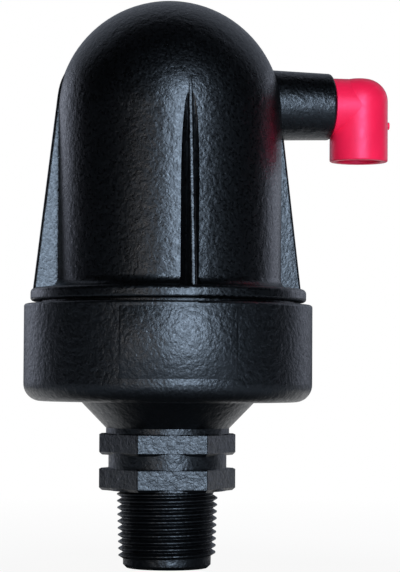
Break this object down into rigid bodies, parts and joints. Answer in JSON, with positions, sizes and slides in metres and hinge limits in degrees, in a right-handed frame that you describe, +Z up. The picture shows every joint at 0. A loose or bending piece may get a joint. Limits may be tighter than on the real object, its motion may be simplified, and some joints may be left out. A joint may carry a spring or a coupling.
{
  "type": "air release valve",
  "caption": "Domed plastic air release valve with a float, a rolling rubber seal, a swivel drain elbow and a male taper-threaded inlet.",
  "frame": {"origin": "centre of the open end of the inlet nipple", "axes": "+Z up along the valve's axis, +X towards the drain boss, -Y the front"},
  "size_m": [0.1005, 0.0778, 0.1528],
  "materials": {
    "black_nylon": "satin glass-filled nylon with a fine mottled grain",
    "red_plastic": "semi-gloss moulded polypropylene",
    "strainer_nylon": "natural nylon",
    "float_foam": "foamed polypropylene with a closed skin",
    "rubber_black": "matt moulded rubber",
    "stainless": "plain stainless steel"
  },
  "bodies": {
    "housing": {"base": "black_nylon", "inlet_strainer": "strainer_nylon", "body_o_ring": "rubber_black", "body_dome": "black_nylon", "orifice_plug": "black_nylon", "plug_o_ring": "rubber_black", "plug_nut": "black_nylon", "plug_cover": "black_nylon", "cover_screws": "stainless", "rolling_seal": "rubber_black"},
    "float_carrier": {"float": "float_foam", "clamping_stem": "black_nylon", "stem_pin": "stainless", "seal_clip": "black_nylon", "clip_screws": "stainless"},
    "elbow_swivel_body": {"drain_elbow": "red_plastic", "elbow_o_ring": "rubber_black"}
  },
  "joints": [
    {"name": "float_slide", "type": "slide", "parent": "housing", "child": "float_carrier", "axis": [0, 0, 1], "range_m": [0, 0.01], "deforming": ["rolling_seal"]},
    {"name": "elbow_swivel", "type": "hinge", "parent": "housing", "child": "elbow_swivel_body", "pos_m": [0.0447, 0, 0.1255], "axis": [1, 0, 0], "continuous": true}
  ]
}
